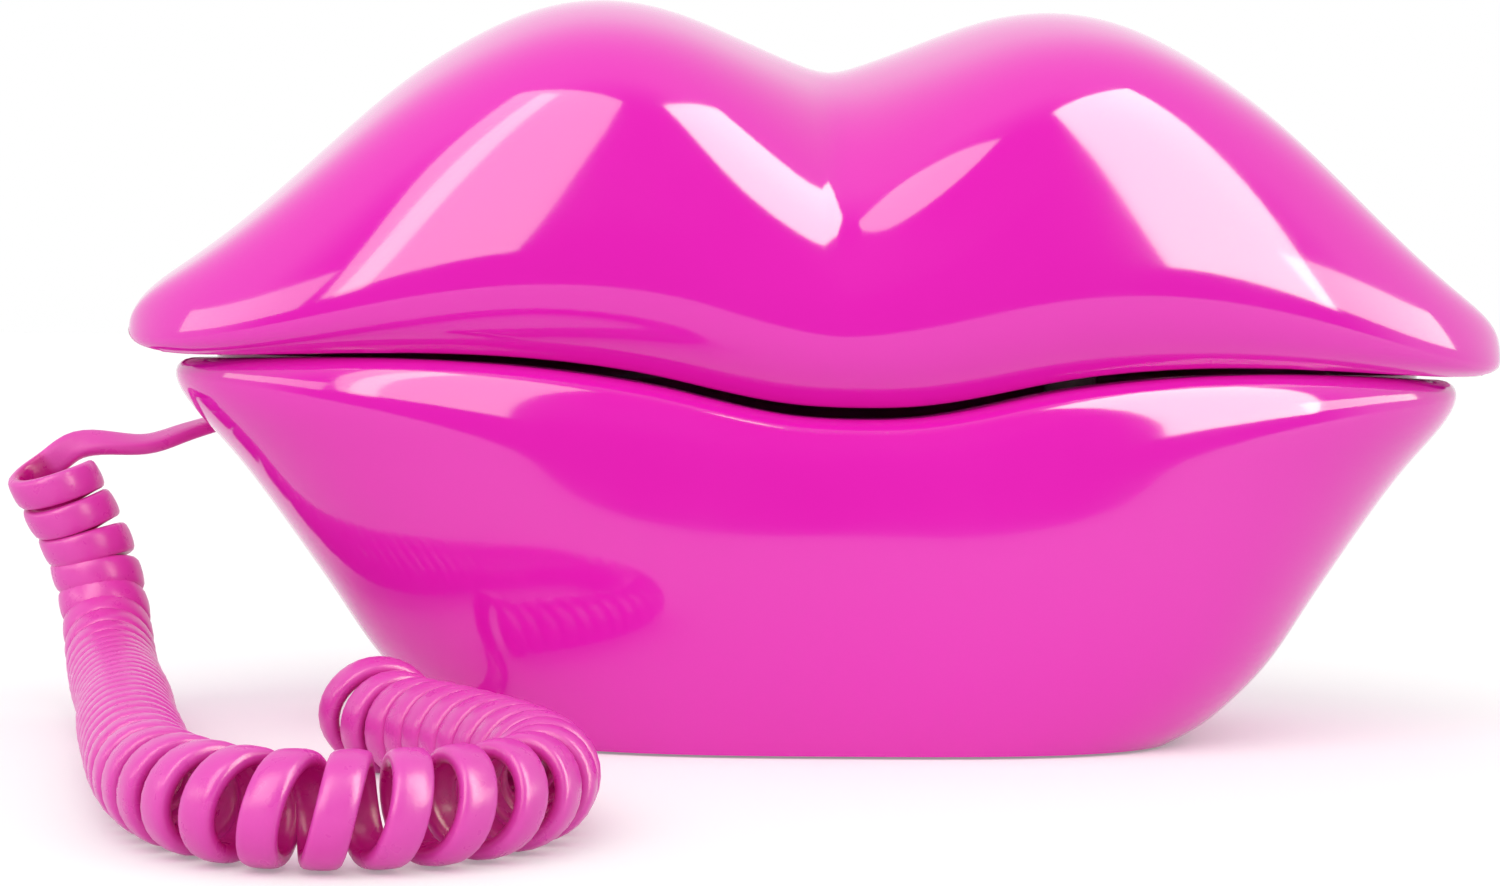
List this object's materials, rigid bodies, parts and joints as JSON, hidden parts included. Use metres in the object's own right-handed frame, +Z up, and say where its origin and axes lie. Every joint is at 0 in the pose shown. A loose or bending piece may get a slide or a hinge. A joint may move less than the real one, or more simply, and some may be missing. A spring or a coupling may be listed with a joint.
{
  "type": "novelty lips telephone",
  "caption": "Telephone shaped as a pair of glossy lips: the upper lip lifts off as the handset, the lower lip is the base, joined by a curly cord.",
  "frame": {"origin": "on the surface it stands on, below the middle of the lips without the cord", "axes": "+X along the lips, to the right of someone facing the front; -Y is the front; +Z up"},
  "size_m": [0.2279, 0.1938, 0.1103],
  "materials": {
    "lip_gloss": "high gloss magenta moulding",
    "inner_pink": "satin magenta moulding",
    "key_plastic": "satin",
    "cord_pink": "soft satin vinyl",
    "plug_plastic": "clear moulding",
    "dark_plastic": "fine grain",
    "black_rubber": "matt",
    "circuit_board": "solder mask",
    "steel": "zinc plated"
  },
  "bodies": {
    "base": {"base_shell": "lip_gloss", "base_tray": "inner_pink", "hook_switch": "dark_plastic", "base_plate": "dark_plastic", "base_ballast": "steel", "base_board": "circuit_board", "line_jack": "dark_plastic", "cord_jack": "dark_plastic", "ringer_buzzer": "dark_plastic", "ringer_switch_body": "dark_plastic", "base_screw_1": "steel", "base_screw_2": "steel", "base_screw_3": "steel", "base_screw_4": "steel", "rubber_foot_1": "black_rubber", "rubber_foot_2": "black_rubber", "rubber_foot_3": "black_rubber", "rubber_foot_4": "black_rubber", "curly_cord": "cord_pink", "base_lead": "cord_pink", "base_plug": "plug_plastic"},
    "handset": {"handset_shell": "lip_gloss", "handset_faceplate": "inner_pink", "keypad_mat": "black_rubber", "handset_board": "circuit_board", "earpiece_receiver": "dark_plastic", "receiver_gasket": "black_rubber", "microphone_boot": "black_rubber", "microphone_capsule": "steel", "tone_switch_body": "dark_plastic", "handset_jack": "dark_plastic", "handset_screw_1": "steel", "handset_screw_2": "steel", "handset_screw_3": "steel", "handset_screw_4": "steel", "handset_plug": "plug_plastic", "handset_lead": "cord_pink"},
    "hook": {"hook_button": "key_plastic"},
    "tone_knob": {"tone_switch_knob": "key_plastic"},
    "ringer_knob": {"ringer_switch_knob": "dark_plastic"},
    "key_1": {"key_1": "key_plastic"},
    "key_2": {"key_2": "key_plastic"},
    "key_3": {"key_3": "key_plastic"},
    "key_4": {"key_4": "key_plastic"},
    "key_5": {"key_5": "key_plastic"},
    "key_6": {"key_6": "key_plastic"},
    "key_7": {"key_7": "key_plastic"},
    "key_8": {"key_8": "key_plastic"},
    "key_9": {"key_9": "key_plastic"},
    "key_star": {"key_star": "key_plastic"},
    "key_0": {"key_0": "key_plastic"},
    "key_hash": {"key_hash": "key_plastic"},
    "key_flash": {"key_flash": "key_plastic"},
    "key_redial": {"key_redial": "key_plastic"},
    "key_mute": {"key_mute": "key_plastic"}
  },
  "joints": [
    {"name": "handset_lift", "type": "slide", "parent": "base", "child": "handset", "axis": [0, 0, 1], "range_m": [0, 0.08]},
    {"name": "hook_press", "type": "slide", "parent": "base", "child": "hook", "axis": [0, 0, 1], "range_m": [0, 0.003]},
    {"name": "tone_slide", "type": "slide", "parent": "handset", "child": "tone_knob", "axis": [0, 1, 0], "range_m": [0, 0.004]},
    {"name": "ringer_slide", "type": "slide", "parent": "base", "child": "ringer_knob", "axis": [1, 0, 0], "range_m": [0, 0.004]},
    {"name": "key_1_press", "type": "slide", "parent": "handset", "child": "key_1", "axis": [0, 0, 1], "range_m": [0, 0.0012], "stiffness_N_per_m": 500, "springref_m": -0.0005},
    {"name": "key_2_press", "type": "slide", "parent": "handset", "child": "key_2", "axis": [0, 0, 1], "range_m": [0, 0.0012], "stiffness_N_per_m": 500, "springref_m": -0.0005},
    {"name": "key_3_press", "type": "slide", "parent": "handset", "child": "key_3", "axis": [0, 0, 1], "range_m": [0, 0.0012], "stiffness_N_per_m": 500, "springref_m": -0.0005},
    {"name": "key_4_press", "type": "slide", "parent": "handset", "child": "key_4", "axis": [0, 0, 1], "range_m": [0, 0.0012], "stiffness_N_per_m": 500, "springref_m": -0.0005},
    {"name": "key_5_press", "type": "slide", "parent": "handset", "child": "key_5", "axis": [0, 0, 1], "range_m": [0, 0.0012], "stiffness_N_per_m": 500, "springref_m": -0.0005},
    {"name": "key_6_press", "type": "slide", "parent": "handset", "child": "key_6", "axis": [0, 0, 1], "range_m": [0, 0.0012], "stiffness_N_per_m": 500, "springref_m": -0.0005},
    {"name": "key_7_press", "type": "slide", "parent": "handset", "child": "key_7", "axis": [0, 0, 1], "range_m": [0, 0.0012], "stiffness_N_per_m": 500, "springref_m": -0.0005},
    {"name": "key_8_press", "type": "slide", "parent": "handset", "child": "key_8", "axis": [0, 0, 1], "range_m": [0, 0.0012], "stiffness_N_per_m": 500, "springref_m": -0.0005},
    {"name": "key_9_press", "type": "slide", "parent": "handset", "child": "key_9", "axis": [0, 0, 1], "range_m": [0, 0.0012], "stiffness_N_per_m": 500, "springref_m": -0.0005},
    {"name": "key_star_press", "type": "slide", "parent": "handset", "child": "key_star", "axis": [0, 0, 1], "range_m": [0, 0.0012], "stiffness_N_per_m": 500, "springref_m": -0.0005},
    {"name": "key_0_press", "type": "slide", "parent": "handset", "child": "key_0", "axis": [0, 0, 1], "range_m": [0, 0.0012], "stiffness_N_per_m": 500, "springref_m": -0.0005},
    {"name": "key_hash_press", "type": "slide", "parent": "handset", "child": "key_hash", "axis": [0, 0, 1], "range_m": [0, 0.0012], "stiffness_N_per_m": 500, "springref_m": -0.0005},
    {"name": "key_flash_press", "type": "slide", "parent": "handset", "child": "key_flash", "axis": [0, 0, 1], "range_m": [0, 0.0012], "stiffness_N_per_m": 500, "springref_m": -0.0005},
    {"name": "key_redial_press", "type": "slide", "parent": "handset", "child": "key_redial", "axis": [0, 0, 1], "range_m": [0, 0.0012], "stiffness_N_per_m": 500, "springref_m": -0.0005},
    {"name": "key_mute_press", "type": "slide", "parent": "handset", "child": "key_mute", "axis": [0, 0, 1], "range_m": [0, 0.0012], "stiffness_N_per_m": 500, "springref_m": -0.0005}
  ],
  "couplings": [
    {"joint": "hook_press", "follows": "handset_lift", "ratio": 0.0375}
  ]
}
